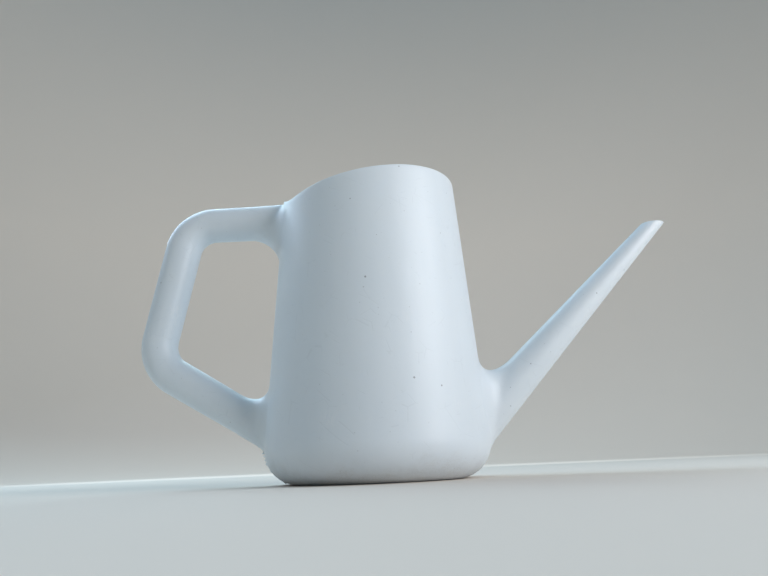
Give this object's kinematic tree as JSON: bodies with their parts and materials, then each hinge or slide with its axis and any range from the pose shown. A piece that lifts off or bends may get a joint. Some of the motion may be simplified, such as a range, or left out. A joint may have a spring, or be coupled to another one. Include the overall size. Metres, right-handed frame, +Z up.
{
  "type": "watering can",
  "caption": "Small round one-piece plastic watering can: tapered vessel with a slanted open mouth, hollow loop handle and a straight slender spout.",
  "frame": {"origin": "the ground plane under the middle of the can's length and width, with the can standing on its base", "axes": "+X from the handle to the spout, +Y to the can's left seen from behind the handle, +Z up; the moulding's parting plane is y = 0"},
  "size_m": [0.3396, 0.1318, 0.1823],
  "materials": {
    "vessel_plastic": "satin natural-white polyethylene, slightly bluish",
    "base_plastic": "satin natural-white polyethylene, scuffed where it stands",
    "handle_plastic": "satin natural-white polyethylene, smoothed by the hand",
    "spout_plastic": "satin natural-white polyethylene, thinner and lighter towards the tip"
  },
  "bodies": {
    "root": {"vessel": "vessel_plastic", "base": "base_plastic", "handle": "handle_plastic", "spout": "spout_plastic"}
  },
  "joints": []
}
